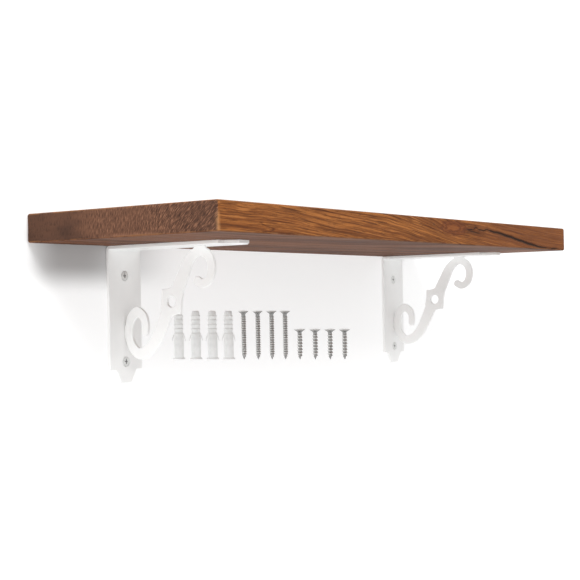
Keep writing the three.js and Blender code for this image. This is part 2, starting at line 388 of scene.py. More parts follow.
def board_mesh():
    """A fine grid over all six sides, worn, with its pilot holes carved out."""
    lines = [grid_lines(*sides) for sides in zip(BOARD_LOW, BOARD_HIGH, BOARD_CELLS)]
    last = [len(stations) - 1 for stations in lines]
    bm = bmesh.new()
    made = {}

    def vertex(index):
        if index not in made:
            corner = Vector(lines[axis][index[axis]] for axis in range(3))
            made[index] = bm.verts.new(worn(eased(corner)))
        return made[index]

    for fixed in range(3):
        first, second = [axis for axis in range(3) if axis != fixed]
        for end, i, j in product((0, last[fixed]), range(last[first]), range(last[second])):
            corners = []
            for u, v in ((i, j), (i + 1, j), (i + 1, j + 1), (i, j + 1)):
                index = [end] * 3
                index[first], index[second] = u, v
                corners.append(vertex(tuple(index)))
            bm.faces.new(corners)
    return soften(carve(mesh_from(bm, "board_blank"), pilot_holes()), 60)


def bracket_x(side):
    low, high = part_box(f"{side}_bracket_strap")
    return (low.x + high.x) / 2


# ---------------- bracket strap

HALF_BEND = (BEND_RADIUS - STRAP_THICKNESS / 2) * math.pi / 4  # of the middle line, either side of u = 0
WALL_RUN = HALF_BEND - BEND_RADIUS  # adds to a distance from the corner to give the flat length
BEND_CUTS = 8
TONGUE_CORNER = 1.2 * MM
TONGUE_STEPS = 10  # down each of its hollowed sides


def tongue(shoulder, way):
    """One end of the flat strap: its shoulders and the hollow-sided tongue."""
    half, root, tip = STRAP_WIDTH / 2, TONGUE_ROOT / 2, TONGUE_TIP / 2
    start = shoulder + WALL_RUN
    end = start + TONGUE_LENGTH
    corner = TONGUE_CORNER
    side = [(start - corner, half), (start - corner * 0.3, half - corner * 0.3), (start, half - corner)]
    for step in range(TONGUE_STEPS + 1):
        t = step / TONGUE_STEPS
        a, b, c = (1 - t) ** 2, 2 * t * (1 - t), t * t
        side.append((
            a * start + b * (start + TONGUE_LENGTH * 0.25) + c * (end - corner),
            a * (root + MM) + b * (root - MM) + c * (tip + 0.2 * MM),
        ))
    side += [(end - corner * 0.3, tip - 0.1 * MM), (end, tip - corner)]
    both = side + [(u, -v) for u, v in reversed(side)]
    return [(way * u, way * v) for u, v in both]


def bent(point):
    """A point of the flat strap on the bent one. w goes towards the wall and the board."""
    u, v, w = point
    layer = w - STRAP_THICKNESS / 2
    if u > HALF_BEND:
        return Vector((v, -BEND_RADIUS - (u - HALF_BEND), UNDERSIDE + layer))
    if u < -HALF_BEND:
        return Vector((v, layer, UNDERSIDE - BEND_RADIUS - (-u - HALF_BEND)))
    turn = math.pi / 4 * (1 + u / HALF_BEND)
    radius = BEND_RADIUS + layer
    out = radius * math.cos(turn) - BEND_RADIUS
    return Vector((v, out, radius * math.sin(turn) + UNDERSIDE - BEND_RADIUS))


def countersink(screw):
    """The tool for one hole, with a rounded lip. Height 0 is the room side of the strap."""
    mouth, shank, lip = screw["head"] + GAP, screw["radius"] + 2 * GAP, 0.25 * MM
    deep = screw["height"] + GAP
    return lathe([
        (0, -MM), (mouth + 2 * lip, -MM), (mouth + 2 * lip, -0.02 * MM), (mouth + lip, 0.03 * MM),
        (mouth, 0.25 * MM), (mouth - 0.1 * MM, 0.5 * MM), (shank, deep), (shank, STRAP_THICKNESS + MM),
        (0, STRAP_THICKNESS + MM),
    ], 40)


def bent_strap():
    """The strap before it is drilled: a flat plate, cut across, then bent."""
    strap = plate([tongue(SHELF_LEG, 1) + tongue(WALL_LEG, -1)], STRAP_THICKNESS, STEEL_ROUND)
    for cut in range(BEND_CUTS + 1):
        u = HALF_BEND * (2 * cut / BEND_CUTS - 1)
        bmesh.ops.bisect_plane(strap, geom=strap.verts[:] + strap.edges[:] + strap.faces[:], dist=1e-7,
                               plane_co=(u, 0, 0), plane_no=(1, 0, 0))
    for vertex in strap.verts:
        vertex.co = bent(vertex.co)
    return mesh_from(strap, "strap")


def strap_tools():
    tools = [
        placed(countersink(WALL_SCREW), into_wall(0, -STRAP_THICKNESS, UNDERSIDE - drop))
        for drop in WALL_HOLES
    ]
    tools += [
        placed(countersink(SHELF_SCREW), offset(0, -out, UNDERSIDE - STRAP_THICKNESS))
        for out in SHELF_HOLES
    ]
    width, length = SCROLL_THICKNESS + 2 * GAP, TAB_LENGTH + 2 * GAP
    through = STRAP_THICKNESS + 2 * MM
    middle = STRAP_THICKNESS / 2
    wall_slot = offset(0, -middle, UNDERSIDE - STRAP_THICKNESS - WALL_TAB_DROP)
    shelf_slot = offset(0, -SHELF_TAB_REACH, UNDERSIDE - middle)
    tools.append(placed(block(width, through, length), wall_slot))
    tools.append(placed(block(width, length, through), shelf_slot))
    return tools


def strap_mesh(x):
    strap = carve(bent_strap(), strap_tools())
    strap.transform(offset(x, 0, 0))
    return soften(strap)


# ---------------- scroll plate

OUTLINE_SPACING = 0.9 * MM
OUTLINE_CLOSEST = 0.12 * MM  # points nearer than this to the one before are left out
OUTLINE_CORNER = math.radians(32)  # a sharper turn than this stays a corner


def side_loops(node):
    """The outlines of the flat side of a CAD scroll plate, as loops of (y, z)."""
    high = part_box(node)[1]
    bm = bmesh.new()
    bm.from_mesh(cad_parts[node].data)
    bmesh.ops.remove_doubles(bm, verts=bm.verts, dist=1e-6)
    flat = [face for face in bm.faces if all(abs(v.co.x - high.x) < 1e-5 for v in face.verts)]
    ahead = {}
    for face in flat:
        for loop in face.loops:
            if not any(other in flat for other in loop.edge.link_faces if other is not face):
                ahead[loop.vert.index] = loop.link_loop_next.vert.index
    places = {v.index: (v.co.y, v.co.z) for v in bm.verts}
    bm.free()
    loops = []
    while ahead:
        start, at = next(iter(ahead.items()))
        loop = [places[start]]
        del ahead[start]
        while at != start:
            loop.append(places[at])
            at = ahead.pop(at)
        loops.append(loop)
    return loops


def flowing(loop):
    """The loop with a smooth curve through its points, broken only at real corners."""
    every = [Vector(point) for point in loop]
    pairs = zip(every[-1:] + every, every)
    points = [point for before, point in pairs if (point - before).length > OUTLINE_CLOSEST]
    count = len(points)

    def is_corner(index):
        back = points[index] - points[index - 1]
        on = points[(index + 1) % count] - points[index]
        return back.angle(on) > OUTLINE_CORNER

    corners = [is_corner(index) for index in range(count)]
    result = []
    for index in range(count):
        a, b = points[index], points[(index + 1) % count]
        before = a * 2 - b if corners[index] else points[index - 1]
        after = b * 2 - a if corners[(index + 1) % count] else points[(index + 2) % count]
        steps = max(1, round((b - a).length / OUTLINE_SPACING))
        result += [centripetal(before, a, b, after, step / steps) for step in range(steps)]
    return result


def centripetal(p0, p1, p2, p3, t):
    """A point t of the way from p1 to p2 on the centripetal Catmull-Rom curve."""
    t1 = math.sqrt(max((p1 - p0).length, 1e-9))
    t2 = t1 + math.sqrt(max((p2 - p1).length, 1e-9))
    t3 = t2 + math.sqrt(max((p3 - p2).length, 1e-9))
    at = t1 + (t2 - t1) * t
    a1 = p0 * ((t1 - at) / t1) + p1 * (at / t1)
    a2 = p1 * ((t2 - at) / (t2 - t1)) + p2 * ((at - t1) / (t2 - t1))
    a3 = p2 * ((t3 - at) / (t3 - t2)) + p3 * ((at - t2) / (t3 - t2))
    b1 = a1 * ((t2 - at) / t2) + a2 * (at / t2)
    b2 = a2 * ((t3 - at) / (t3 - t1)) + a3 * ((at - t1) / (t3 - t1))
    return b1 * ((t2 - at) / (t2 - t1)) + b2 * ((at - t1) / (t2 - t1))


def scroll_mesh(side):
    """The scroll stands on edge: its flat outline is in the y, z plane at the strap's middle."""
    loops = [flowing(loop) for loop in side_loops(f"{side}_bracket_scroll")]
    loops.sort(key=len, reverse=True)
    bm = plate(loops, SCROLL_THICKNESS, STEEL_ROUND)
    stand = Matrix(((0, 0, 1, bracket_x(side)), (1, 0, 0, 0), (0, 1, 0, 0), (0, 0, 0, 1)))
    bm.transform(stand)
    return soften(mesh_from(bm, "scroll"))


# ---------------- screws and plugs

SCREW_STEPS = 28  # points round a screw
ROWS_PER_TURN = 9  # rings of points to each turn of its thread
RIDGE_HALF = 0.35  # of the thread's ridge, as a part of its pitch


def thread_radius(screw, height, turn):
    """The screw's radius at a height and a turn, both measured along its thread."""
    core, crest = screw["core"], screw["radius"]
    point = screw["length"] - height
    body = core * min(1.0, 0.06 + point / SCREW_POINT) ** 0.8
    phase = (height / screw["pitch"] - turn / (2 * math.pi)) % 1.0
    ridge = min(1.0, 1.15 * max(0.0, 1 - abs(phase - 0.5) / RIDGE_HALF))
    grows = smooth(height, screw["plain"], screw["plain"] + screw["pitch"])
    fades = smooth(point, 0.3 * MM, SCREW_POINT * 0.8)
    return body + (crest - core) * ridge * grows * fades


def head_profile(screw):
    """The (radius, height) of each ring of a head, from its flat top to the shank."""
    head, high, core = screw["head"], screw["height"], screw["core"]
    return [
        (head * 0.5, 0), (head - 0.35 * MM, 0.0), (head - 0.1 * MM, 0.08 * MM), (head, 0.25 * MM),
        (head - 0.12 * MM, 0.45 * MM), (head * 0.72, high * 0.52), (core + 0.55 * MM, high * 0.86),
        (core + 0.12 * MM, high * 1.12), (core, high * 1.3),
    ]


def screw_mesh(screw):
    """A countersunk screw with a real helical thread. Height 0 is the top of its head."""
    turns = [2 * math.pi * step / SCREW_STEPS for step in range(SCREW_STEPS)]
    profile = head_profile(screw)
    neck = profile[-1][1]
    rows = int((screw["length"] - neck) / screw["pitch"] * ROWS_PER_TURN)
    heights = [neck + (screw["length"] - 0.1 * MM - neck) * row / rows for row in range(1, rows + 1)]
    outline = [([radius] * SCREW_STEPS, height) for radius, height in profile]
    outline += [([thread_radius(screw, height, turn) for turn in turns], height) for height in heights]
    bm = bmesh.new()
    top = bm.verts.new((0, 0, 0))
    tip = bm.verts.new((0, 0, screw["length"]))
    rings = [ring(bm, radii, height) for radii, height in outline]
    for step in range(SCREW_STEPS):
        following = (step + 1) % SCREW_STEPS
        bm.faces.new((top, rings[0][following], rings[0][step]))
        bm.faces.new((tip, rings[-1][step], rings[-1][following]))
        for low, high in zip(rings, rings[1:]):
            bm.faces.new((low[step], low[following], high[following], high[step]))
    return soften(carve(mesh_from(bm, "screw"), [mesh_from(cross_recess(), "recess")]), 40)


def cross_recess():
    """The tapered cross that the driver goes into, as one closed tool."""
    span, width, deep = 2.2 * MM, 0.6 * MM, 1.7 * MM
    arm = [(span, width), (width, width), (width, span)]
    star = []
    for _ in range(4):
        star += arm
        arm = [(-v, u) for u, v in arm]
    bm = bmesh.new()
    levels = ((-0.5 * MM, 1.03), (0.0, 1.0), (deep * 0.75, 0.62), (deep, 0.3))
    rings = [[bm.verts.new((u * size, v * size, height)) for u, v in star] for height, size in levels]
    for low, high in zip(rings, rings[1:]):
        band(bm, low, high)
    bm.faces.new(rings[0])
    bm.faces.new(rings[-1])
    return bm


FLANGE_THICKNESS = 1.2 * MM
RIB_START = 22 * MM  # above the plug's mouth
RIB_STEP = 3.6 * MM
RIB_COUNT = 4
FORK_LENGTH = 19 * MM
FORK_GAP = 1.3 * MM
NOTCH = 2.4 * MM
WING_WIDTH = 2.2 * MM


def plug_profile():
    """The (radius, height) of a plug's flange, plain part, ribs, tip and bore."""
    flange, radius, tip = PLUG_FLANGE, PLUG_RADIUS, PLUG_LENGTH
    bore = WALL_SCREW["radius"] + GAP
    above = FLANGE_THICKNESS
    profile = [
        (bore, 0), (flange - 0.3 * MM, 0), (flange, 0.25 * MM), (flange, above - 0.3 * MM),
        (flange - 0.3 * MM, above), (radius + 0.15 * MM, above + 0.35 * MM), (radius, above + 0.9 * MM),
        (radius, RIB_START - 0.6 * MM),
    ]
    for rib in range(RIB_COUNT):
        base = RIB_START + rib * RIB_STEP
        profile += [
            (radius - 0.55 * MM, base), (radius - 0.45 * MM, base + RIB_STEP * 0.45),
            (radius - 0.1 * MM, base + RIB_STEP * 0.78), (radius - 0.05 * MM, base + RIB_STEP - 0.5 * MM),
        ]
    profile += [
        (radius - 0.6 * MM, RIB_START + RIB_COUNT * RIB_STEP), (radius - 0.75 * MM, tip - 1.2 * MM),
        (radius - 1.3 * MM, tip - 0.2 * MM), (radius - 1.7 * MM, tip), (1.0 * MM, tip),
        (bore * 0.75, tip - 3 * MM), (bore, tip - 12 * MM), (bore, 0),
    ]
    return profile


def plug_mesh():
    """A ribbed nylon plug with a forked end. Height 0 is its mouth."""
    body = mesh_from(lathe(plug_profile(), 40), "plug")
    across = 4 * PLUG_RADIUS
    fork = block(FORK_GAP, across, FORK_LENGTH)
    rounded(fork, 0.3 * MM, 2)
    fork = placed(fork, offset(0, 0, PLUG_LENGTH + MM - FORK_LENGTH / 2))
    on_edge = offset(0, 0, PLUG_LENGTH + 0.4 * MM) @ Matrix.Rotation(math.pi / 4, 4, "Y")
    notch = placed(block(NOTCH, across, NOTCH), on_edge)
    body = carve(body, [fork, notch])
    body = carve(body, [wing(1), wing(-1)], "UNION")
    return soften(body, 30)


def wing(side):
    """A barb that springs out from the plug and leans back towards its mouth."""
    root, reach = PLUG_RADIUS - 0.9 * MM, PLUG_RADIUS + 1.65 * MM
    outline = [
        (root, 19.2 * MM), (root + 1.2 * MM, 18.2 * MM), (reach - 0.55 * MM, 15.2 * MM),
        (reach, 15.1 * MM), (reach + 0.05 * MM, 15.6 * MM), (root + 1.75 * MM, 19.6 * MM), (root, 21.6 * MM),
    ]
    bm = bmesh.new()
    near, far = [
        [bm.verts.new((across, side * out, height)) for out, height in outline]
        for across in (-WING_WIDTH / 2, WING_WIDTH / 2)
    ]
    band(bm, near, far)
    bm.faces.new(near)
    bm.faces.new(far)
    bmesh.ops.recalc_face_normals(bm, faces=bm.faces)
    rounded(bm, 0.15 * MM, 1)
    return mesh_from(bm, "wing")


# ---------------- materials


class Nodes:
    """Short names for the shader nodes that the materials are made of."""

    def __init__(self, name):
        self.material = bpy.data.materials.new(name)
        self.material.use_nodes = True
        self.tree = self.material.node_tree
        self.shader = self.tree.nodes["Principled BSDF"]
        self.place = self.node("TexCoord").outputs["Object"]

    def node(self, kind, sockets=None, **settings):
        """A new node with its settings, and with values or links for its sockets."""
        made = self.tree.nodes.new("ShaderNode" + kind)
        for key, value in settings.items():
            setattr(made, key, value)
        self.feed(made, sockets or {})
        return made

    def feed(self, node, sockets):
        for key, value in sockets.items():
            if isinstance(value, bpy.types.NodeSocket):
                self.tree.links.new(value, node.inputs[key])
            else:
                node.inputs[key].default_value = value

    def math(self, operation, *values):
        return self.node("Math", dict(enumerate(values)), operation=operation).outputs[0]

    def add(self, first, *others):
        for value in others:
            first = self.math("ADD", first, value)
        return first

    def times(self, first, *others):
        for value in others:
            first = self.math("MULTIPLY", first, value)
        return first

    def less(self, a, b):
        return self.math("SUBTRACT", a, b)

    def size(self, value):
        return self.math("ABSOLUTE", value)

    def step(self, value, low, high, start=0.0, end=1.0):
        """A soft S from start to end, as the value goes from low to high. Low may be the larger."""
        sockets = {"Value": value, "From Min": low, "From Max": high, "To Min": start, "To Max": end}
        return self.node("MapRange", sockets, interpolation_type="SMOOTHSTEP").outputs["Result"]

    def split(self, vector):
        return self.node("SeparateXYZ", {0: vector}).outputs[:3]

    def vector(self, *values):
        return self.node("CombineXYZ", dict(enumerate(values))).outputs[0]

    def scaled(self, *rates):
        """The place on the object, with each axis times its rate."""
        return self.node("VectorMath", {0: self.place, 1: rates}, operation="MULTIPLY").outputs[0]

    def noise(self, where, scale=1.0, detail=2.0, rough=0.5):
        sockets = {"Vector": where, "Scale": scale, "Detail": detail, "Roughness": rough}
        return self.node("TexNoise", sockets).outputs["Fac"]

    def blend(self, amount, first, second):
        return self.node("Mix", {0: amount, 6: first, 7: second}, data_type="RGBA").outputs[2]

    def tinted(self, colour, *tints):
        """The colour, moved towards each tint in turn by the product of its amounts."""
        for tint, *amounts in tints:
            colour = self.blend(self.times(*amounts), colour, rgb(*tint))
        return colour

    def bump(self, height, distance, strength):
        sockets = {"Strength": strength, "Distance": distance, "Height": height}
        return self.node("Bump", sockets).outputs["Normal"]

    def finish(self, colour, roughness, **more):
        self.feed(self.shader, {"Base Color": colour, "Roughness": roughness})
        self.feed(self.shader, {name.replace("_", " "): value for name, value in more.items()})
        return self.material


def rgb(red, green, blue):
    """A colour given as it looks on screen, 0 to 255, as the linear values that shaders use."""

    def linear(value):
        value /= 255
        return value / 12.92 if value <= 0.04045 else ((value + 0.055) / 1.055) ** 2.4

    return linear(red), linear(green), linear(blue), 1.0


# Colours, as they look on screen.
FACE_LIGHT = (152, 95, 48)
FACE_DARK = (120, 70, 34)
FACE_GOLD = (170, 110, 58)
FACE_LINE = (70, 36, 18)
FACE_PORE = (48, 26, 14)
RIGHT_DARK = (94, 53, 29)
RIGHT_LIGHT = (130, 77, 41)
KNOT_RED = (108, 58, 32)
KNOT_HEART = (164, 100, 52)
CRACK_GAP_SHADE = (20, 11, 7)
END_DARK = (65, 45, 36)
END_MID = (98, 67, 51)
END_LIGHT = (142, 100, 77)
END_BLACK = (46, 31, 26)
UNDER_DARK = (80, 46, 28)
UNDER_LIGHT = (118, 74, 47)
UNDER_LINE = (54, 30, 18)
# Paler rounded edges and near corner: wear and a painted highlight.
EDGE_WEAR_AND_HIGHLIGHT = (140, 96, 62)
CORNER_WEAR_AND_HIGHLIGHT = (172, 126, 84)
COAT_DULL = (245, 245, 244)
COAT_BRIGHT = (249, 249, 248)
ZINC_DULL = (214, 214, 212)
ZINC_BRIGHT = (234, 234, 232)
ZINC_SHADE = (122, 121, 120)
NYLON_DULL = (232, 233, 232)
NYLON_BRIGHT = (240, 241, 240)
WALL_PAINT = (190, 190, 190)
FLOOR_PAINT = (214, 214, 214)

# How the grain runs down along the front face: past each place, its slope changes by so much.
GRAIN_BENDS = ((-0.245, 0.074), (-0.055, 0.066), (0.09, -0.045), (0.2, -0.06))
GRAIN_DEPTH_SLOPE = 0.42  # how fast it rises from the front to the back
LAYERS = 2250.0  # growth layers, in waves by 2 pi a metre of depth
FIGURE = (-0.252, -0.0075)  # a small pointed figure near the left end
FIGURE_REACH = (0.02, 0.0055)
FIGURE_POINT = 0.004  # how far past its middle its left side fades
KNOT = (0.056, 0.0036)
KNOT_REACH = (0.026, 0.0066)
KNOT_LIFT = 0.0055  # how far it pushes the grain up
SPLINTER = (0.088, 0.112)  # a short side branch at the start of the crack
SPLINTER_HEIGHT = 0.0018
SPLINTER_FALL = 0.09
CRACK_OPENING = (0.0008, 0.0023)  # how wide it is drawn where it starts to fall, and at its widest
CRACK_NARROWS = (0.215, 0.26)
CRACK_NARROWING = 0.0015
CORNER_REACH = 0.004  # how far the near corner's wear and painted highlight go
WOOD_BUMP = 0.22 * MM


class WoodNodes(Nodes):
    """The nodes of the board, with its grain and the streaks that run along it."""

    def __init__(self, name):
        super().__init__(name)
        self.x, self.y, self.z = self.split(self.place)
        facing = self.split(self.node("NewGeometry").outputs["Normal"])
        self.facing_x, self.facing_y, self.facing_z = facing
        self.on_front = self.step(self.facing_y, -0.75, -0.95)
        self.knot = self.knot_mound()
        self.flow = self.grain_flow()
        self.broad = self.streak(5.0, 260.0, detail=3.0)
        self.bands = self.streak(9.0, 750.0, 4.0, detail=3.0)
        self.lines = self.streak(16.0, 1900.0, 9.0)
        self.pore = self.step(self.streak(120.0, 3800.0, 17.0, detail=1.0), 0.60, 0.70)

    def knot_mound(self):
        """1 at the knot's middle, falling away around it and behind the front face."""
        off_x = self.times(self.less(self.x, KNOT[0]), 1 / KNOT_REACH[0])
        off_z = self.times(self.less(self.z, KNOT[1]), 1 / KNOT_REACH[1])
        away = self.add(self.times(off_x, off_x), self.times(off_z, off_z))
        near_front = self.step(self.y, FRONT + 0.05, FRONT)
        return self.times(self.math("EXPONENT", self.times(away, -1.0)), near_front)

    def grain_flow(self):
        """The height of the growth layer that passes through a point, which the grain follows."""
        x, y, z = self.x, self.y, self.z
        flow = self.add(z, self.times(self.less(y, FRONT), GRAIN_DEPTH_SLOPE))
        run_off = self.step(y, FRONT, FRONT + 0.09, 1.0, 0.45)
        for at, change in GRAIN_BENDS:
            past = self.math("SMOOTH_MAX", self.less(x, at), 0.0, 0.05)
            flow = self.add(flow, self.times(past, change, run_off))
        flow = self.add(flow, self.times(self.knot, KNOT_LIFT))
        slow = self.noise(self.scaled(9.0, 9.0, 45.0))
        fine = self.noise(self.scaled(55.0, 30.0, 190.0))
        sway = self.times(self.less(slow, 0.5), run_off, 0.006)
        return self.add(flow, sway, self.times(self.less(fine, 0.5), 0.0009))

    def streak(self, along, across, shift=0.0, detail=2.0):
        """Noise along the grain, at so many waves a metre along it and across it."""
        where = self.vector(self.add(self.times(self.x, along), shift), self.times(self.y, along * 0.6),
                            self.times(self.flow, across))
        return self.noise(where, detail=detail, rough=0.6)


def growth_lines(n, pale_dash):
    """Thin dark lines at the growth layers, from the left end as far as the knot."""
    sway = n.times(n.streak(8.0, 300.0, 90.0), 9.0)
    layer = n.math("SINE", n.add(n.times(n.flow, LAYERS), sway))
    place = n.times(n.step(n.x, -0.2, -0.07, 0.35, 1.0), n.step(n.x, 0.08, 0.04))
    return n.times(n.step(layer, 0.35, 0.95), n.times(place, n.step(pale_dash, 1.0, 0.3, 0.3, 1.0)))


def long_grain(n):
    """The warm streaks, growth lines and pores of the front, the top and the back."""
    dark_line = n.step(n.streak(7.0, 480.0, 31.0), 0.57, 0.64)
    dash = n.step(n.streak(15.0, 620.0, 57.0), 0.56, 0.62)
    pale_dash = n.step(n.streak(30.0, 560.0, 71.0), 0.58, 0.68)
    vein = n.step(n.size(n.less(n.streak(5.0, 300.0, 50.0), 0.5)), 0.028, 0.004)
    colour = n.blend(n.step(n.broad, 0.38, 0.62), rgb(*FACE_DARK), rgb(*FACE_LIGHT))
    return n.tinted(
        colour,
        (FACE_GOLD, n.step(n.bands, 0.48, 0.68), 0.6),
        (FACE_LINE, n.step(n.bands, 0.48, 0.28), 0.35),
        (FACE_LINE, n.step(n.lines, 0.5, 0.66), 0.6),
        (FACE_GOLD, pale_dash, 0.5),
        (FACE_LINE, dark_line, 0.5),
        (FACE_LINE, growth_lines(n, pale_dash), 0.5),
        (FACE_LINE, dash, 0.66),
        (FACE_LINE, vein, 0.6),
        (FACE_PORE, n.pore, 0.65),
    )


def with_figure(n, colour):
    """The colour with the dark outline of the small figure."""
    across = n.size(n.times(n.less(n.x, FIGURE[0]), 1 / FIGURE_REACH[0]))
    upward = n.size(n.times(n.less(n.z, FIGURE[1]), 1 / FIGURE_REACH[1]))
    off_outline = n.size(n.less(n.add(across, upward, n.times(n.less(n.broad, 0.5), 1.6)), 0.7))
    right_side = n.step(n.x, FIGURE[0] - FIGURE_POINT, FIGURE[0] + FIGURE_POINT, 0.35, 1.0)
    outline = n.times(n.step(off_outline, 0.2, 0.02), right_side)
    return n.tinted(colour, (FACE_LINE, outline, n.on_front, 0.75))


def with_red_end(n, colour):
    """The colour, redder and plainer towards the right end."""
    red = n.tinted(rgb(*RIGHT_DARK), (RIGHT_LIGHT, n.step(n.bands, 0.35, 0.65), 0.7))
    return n.blend(n.times(n.step(n.x, 0.06, 0.2), 0.7), colour, red)


def with_knot(n, colour):
    """The colour with the knot's reddish swirl, its rings and its paler heart."""
    curl = n.noise(n.scaled(75.0, 0.0, 320.0), detail=3.0)
    swirl = n.add(n.knot, n.times(n.less(curl, 0.5), 0.75))
    rings = n.step(n.size(n.less(n.math("FRACT", n.times(swirl, 3.4)), 0.5)), 0.34, 0.16)
    return n.tinted(
        colour,
        (KNOT_RED, n.step(swirl, 0.2, 0.5), n.step(n.knot, 0.05, 0.3), 0.6),
        (FACE_LINE, rings, n.step(n.knot, 0.15, 0.4), 0.45),
        (KNOT_HEART, n.step(swirl, 0.82, 1.02), 0.32),
    )


def splinter_mask(n, ragged):
    start, end = SPLINTER
    line = n.add(n.z, ragged, n.times(n.less(n.x, start), SPLINTER_FALL))
    off_line = n.size(n.less(line, SPLINTER_HEIGHT))
    length = n.times(n.step(n.x, start - 0.003, start + 0.003), n.step(n.x, end, end - 0.008))
    return n.times(n.step(off_line, 0.0009, 0.0002), n.on_front, length)


def crack_masks(n):
    """Where the crack is open, drawn as painted shade in its gap, and where it stains the wood, both along
    crack_height().
    """
    waves = [
        n.times(n.math("SINE", n.add(n.times(n.x, rate), shift)), size) for size, rate, shift in CRACK_WAVES
    ]
    waver = n.step(n.x, *CRACK_CALMS, 1.0, CRACK_CALM)
    middle = n.add(n.step(n.x, *CRACK_FALL, CRACK_HIGH, CRACK_LOW), n.times(n.add(*waves), waver))
    torn = n.noise(n.scaled(420.0, 0.0, 300.0))
    ragged = n.times(n.less(torn, 0.5), 0.0007)
    off_line = n.size(n.less(n.add(n.z, ragged), middle))
    begins = n.step(n.x, CRACK_START, CRACK_START + 0.006)
    here = n.times(begins, n.step(n.x, CRACK_END, CRACK_END - 0.02), n.on_front)
    broken = n.step(n.noise(n.vector(n.times(n.x, 130.0), 5.0)), 0.36, 0.5, 0.35, 1.0)
    fall = CRACK_FALL[0]
    whole = n.math("MAXIMUM", broken, n.step(n.x, fall, fall + 0.03))
    opening = n.add(n.step(n.x, fall, fall + 0.05, *CRACK_OPENING),
                    n.step(n.x, *CRACK_NARROWS, 0.0, -CRACK_NARROWING))
    crack = n.times(n.step(off_line, opening, 0.0002), here, whole)
    crack = n.math("MAXIMUM", crack, n.times(splinter_mask(n, ragged), 0.8))
    return crack, n.times(n.step(off_line, 0.0036, 0.0008), here)


def end_grain(n):
    """The ends' colour and relief. The saw marks lean over towards the front edge."""
    lean = n.step(n.y, FRONT + 0.03, FRONT + 0.085, 0.95, 0.12)
    saw = n.add(n.y, n.times(n.z, lean))
    marks = n.noise(n.vector(n.times(saw, 1250.0), n.times(n.z, 230.0), 3.0), rough=0.6)
    rays = n.noise(n.vector(n.times(saw, 700.0), n.times(n.z, 120.0), 8.0), detail=3.0, rough=0.6)
    cloud = n.noise(n.vector(n.times(n.y, 26.0), n.times(n.z, 60.0), n.times(n.x, 5.0)), detail=3.0)
    colour = n.blend(n.step(cloud, 0.22, 0.72), rgb(*END_DARK), rgb(*END_MID))
    marked = n.step(n.y, -0.045, -0.09)
    strong = n.step(n.y, FRONT + 0.09, FRONT + 0.04, 0.6, 0.85)
    low = n.step(n.z, UNDERSIDE + 0.0035, UNDERSIDE + 0.0005)
    rub_span = n.times(n.step(n.y, -0.07, -0.1), n.step(n.y, -0.16, -0.13))
    colour = n.tinted(
        colour,
        # Painted shade: the next two tints make the ends darker towards the wall.
        (END_MID, n.step(n.y, -0.05, -0.1), 0.6),
        (END_DARK, n.step(n.y, -0.07, -0.01), 0.4),
        (END_DARK, n.step(n.y, FRONT + 0.055, FRONT + 0.015), 0.55),
        (END_LIGHT, n.step(marks, 0.5, 0.66), marked, strong),
        (END_LIGHT, n.step(rays, 0.52, 0.75), marked, 0.4),
        (END_BLACK, n.step(marks, 0.47, 0.36), strong, 0.85),
        (END_LIGHT, low, rub_span, n.step(cloud, 0.3, 0.5), 0.45),
    )
    return colour, n.add(n.times(marks, 1.4), n.times(rays, 0.8))


def underside(n):
    """The underside's colour, greyer and plainer than the front's."""
    wide = n.streak(3.0, 150.0, 23.0, detail=3.0)
    colour = n.blend(n.step(wide, 0.38, 0.6), rgb(*UNDER_DARK), rgb(*UNDER_LIGHT))
    return n.tinted(
        colour,
        (UNDER_LINE, n.step(n.streak(9.0, 330.0, 83.0), 0.54, 0.62), 0.45),
        (UNDER_LINE, n.step(n.lines, 0.5, 0.72), 0.35),
        (UNDER_LINE, n.pore, 0.25),
    )


def with_worn_and_highlit_edges(n, colour):
    """The colour, paler in patches on the rounded edges, and most at the near corner: wear and a painted
    highlight.
    """
    larger = n.math("MAXIMUM", n.size(n.facing_x), n.size(n.facing_y))
    flattest = n.math("MAXIMUM", larger, n.size(n.facing_z))
    edge_patch_noise = n.noise(n.scaled(60.0, 60.0, 60.0), detail=4.0)
    wear_and_highlight = n.times(n.step(flattest, 0.985, 0.86), n.step(edge_patch_noise, 0.42, 0.62))
    by_end = n.step(n.x, LEFT_END + CORNER_REACH, LEFT_END)
    near_corner = n.times(by_end, n.step(n.y, FRONT + CORNER_REACH, FRONT))
    patches = n.step(edge_patch_noise, 0.4, 0.62)
    return n.tinted(colour, (EDGE_WEAR_AND_HIGHLIGHT, wear_and_highlight, 0.5), (CORNER_WEAR_AND_HIGHLIGHT, near_corner, patches, 0.7))


def wood_material():
    """Oiled wood: long grain with its knot and crack, end grain, and a plainer underside."""
    n = WoodNodes("oiled_board")
    crack, stain = crack_masks(n)
    front = with_knot(n, with_red_end(n, with_figure(n, long_grain(n))))
    # The crack's near-black line is painted shade in its gap.
    front = n.tinted(front, (FACE_LINE, stain, 0.4), (CRACK_GAP_SHADE, crack, 0.93))
    end, saw_relief = end_grain(n)
    is_under = n.step(n.facing_z, -0.55, -0.85)
    is_end = n.step(n.size(n.facing_x), 0.55, 0.85)
    colour = n.blend(is_under, front, underside(n))
    colour = with_worn_and_highlit_edges(n, n.blend(is_end, colour, end))
    streaks = n.add(n.times(n.lines, 0.5), n.times(n.bands, 0.6))
    relief = n.add(streaks, n.times(n.pore, -0.8), n.times(crack, -2.0))
    height = n.add(n.times(relief, n.less(1.0, is_end)), n.times(saw_relief, is_end))
    rough = n.step(n.add(n.times(n.lines, 0.5), n.times(n.broad, 0.5)), 0.3, 0.7, 0.52, 0.68)
    return n.finish(colour, rough, Normal=n.bump(height, WOOD_BUMP, 0.55), Specular_IOR_Level=0.08)


